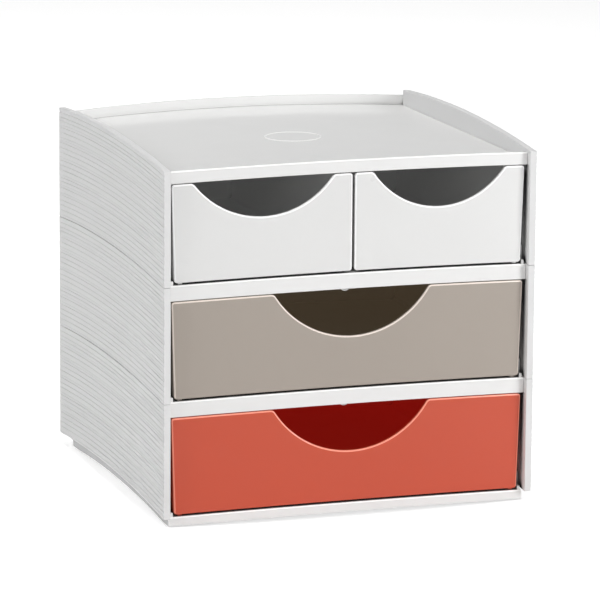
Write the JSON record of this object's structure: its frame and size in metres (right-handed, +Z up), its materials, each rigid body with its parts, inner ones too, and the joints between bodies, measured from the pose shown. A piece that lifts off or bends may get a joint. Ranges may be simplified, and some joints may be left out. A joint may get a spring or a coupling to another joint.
{
  "type": "desktop mini drawers",
  "caption": "Desktop drawer cabinet: stacked ribbed casing with a shallow tray on top, small drawers side by side above wide drawers, each with a round finger scoop.",
  "frame": {"origin": "on the surface the cabinet stands on, under the middle of its overall box", "axes": "+Z up, +X to the right as seen from the front, drawers pull out towards -Y"},
  "size_m": [0.264, 0.2694, 0.2497],
  "materials": {
    "casing_white": "smooth moulded white plastic",
    "ribbed_side": "satin moulded off-white plastic with horizontal ribs",
    "white_drawer": "smooth moulded white plastic",
    "taupe_drawer": "smooth moulded taupe plastic",
    "coral_drawer": "smooth moulded coral red plastic",
    "foot_rubber": "soft dark rubber"
  },
  "bodies": {
    "casing": {"bottom_floor": "casing_white", "lower_shelf": "casing_white", "upper_shelf": "casing_white", "top_tray": "casing_white", "bottom_left_side": "ribbed_side", "middle_left_side": "ribbed_side", "top_left_side": "ribbed_side", "bottom_right_side": "ribbed_side", "middle_right_side": "ribbed_side", "top_right_side": "ribbed_side", "bottom_back": "casing_white", "middle_back": "casing_white", "top_back": "casing_white", "drawer_divider": "casing_white", "drawer_stops": "casing_white", "foot_pads": "foot_rubber"},
    "bottom_drawer": {"bottom_drawer": "coral_drawer"},
    "middle_drawer": {"middle_drawer": "taupe_drawer"},
    "small_drawer_left": {"small_drawer_left": "white_drawer"},
    "small_drawer_right": {"small_drawer_right": "white_drawer"}
  },
  "joints": [
    {"name": "bottom_drawer_slide", "type": "slide", "parent": "casing", "child": "bottom_drawer", "axis": [0, -1, 0], "range_m": [0, 0.232]},
    {"name": "middle_drawer_slide", "type": "slide", "parent": "casing", "child": "middle_drawer", "axis": [0, -1, 0], "range_m": [0, 0.232]},
    {"name": "small_drawer_left_slide", "type": "slide", "parent": "casing", "child": "small_drawer_left", "axis": [0, -1, 0], "range_m": [0, 0.232]},
    {"name": "small_drawer_right_slide", "type": "slide", "parent": "casing", "child": "small_drawer_right", "axis": [0, -1, 0], "range_m": [0, 0.232]}
  ]
}
